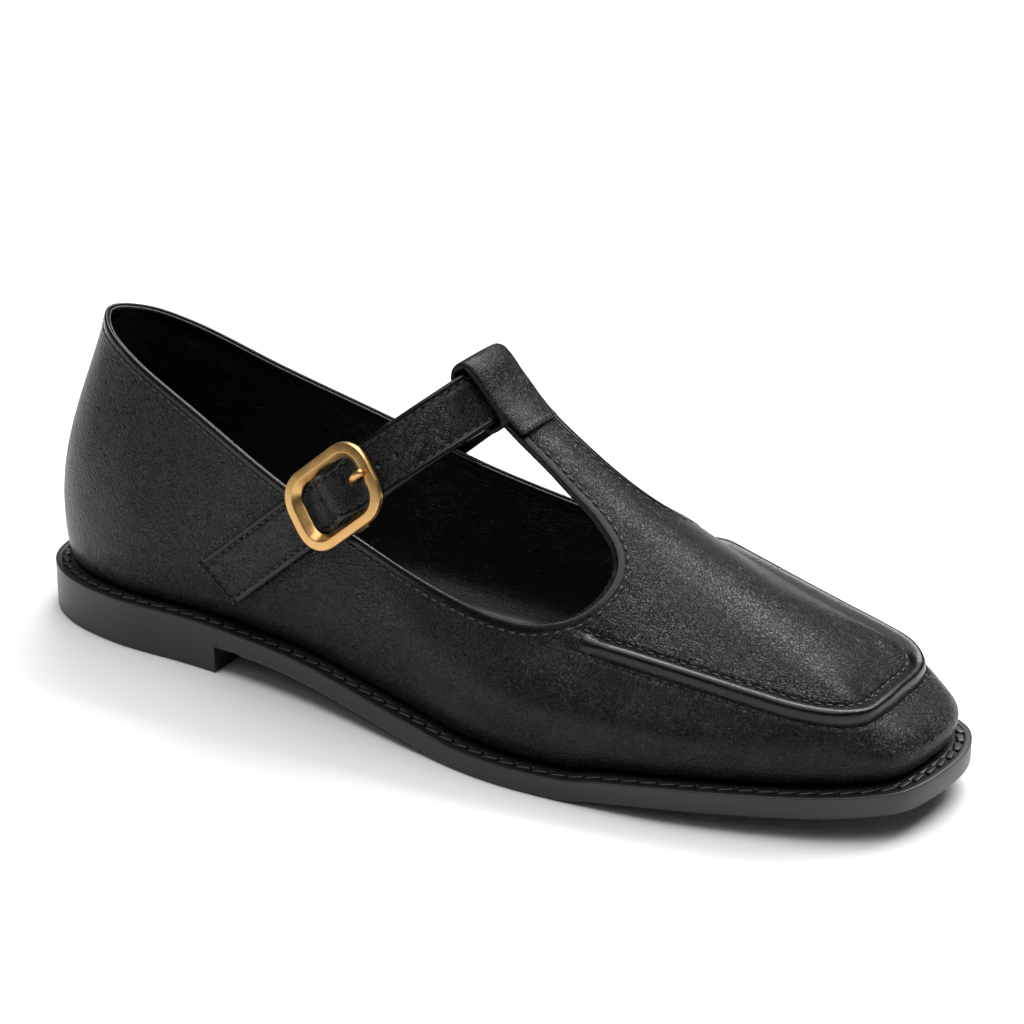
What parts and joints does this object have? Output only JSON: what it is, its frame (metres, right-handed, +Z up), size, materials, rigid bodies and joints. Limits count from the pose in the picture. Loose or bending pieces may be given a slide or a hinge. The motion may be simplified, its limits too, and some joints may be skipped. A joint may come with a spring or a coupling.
{
  "type": "buckle shoe",
  "caption": "Low square-toed T-bar shoe with an instep strap through a loop, a small buckle, a raised apron seam and a low heel.",
  "frame": {"origin": "middle of the heel's tread, on the ground", "axes": "+X towards the toe, +Y towards the inner side of the foot, +Z up"},
  "size_m": [0.27, 0.0867, 0.0944],
  "materials": {
    "upper_leather": "semi-gloss black leather with a fine wrinkled grain",
    "strap_leather": "semi-gloss black leather, creased across",
    "lining": "matt black lining leather",
    "welt": "satin black welt with dark lockstitches",
    "sole_edge": "satin black sole and heel edge",
    "buckle_metal": "brushed old gold"
  },
  "bodies": {
    "root": {"heel": "sole_edge", "outsole": "sole_edge", "welt": "welt", "insole": "lining", "upper": "upper_leather", "strap_loop": "upper_leather", "strap": "strap_leather", "buckle": "buckle_metal", "prong": "buckle_metal"}
  },
  "joints": []
}
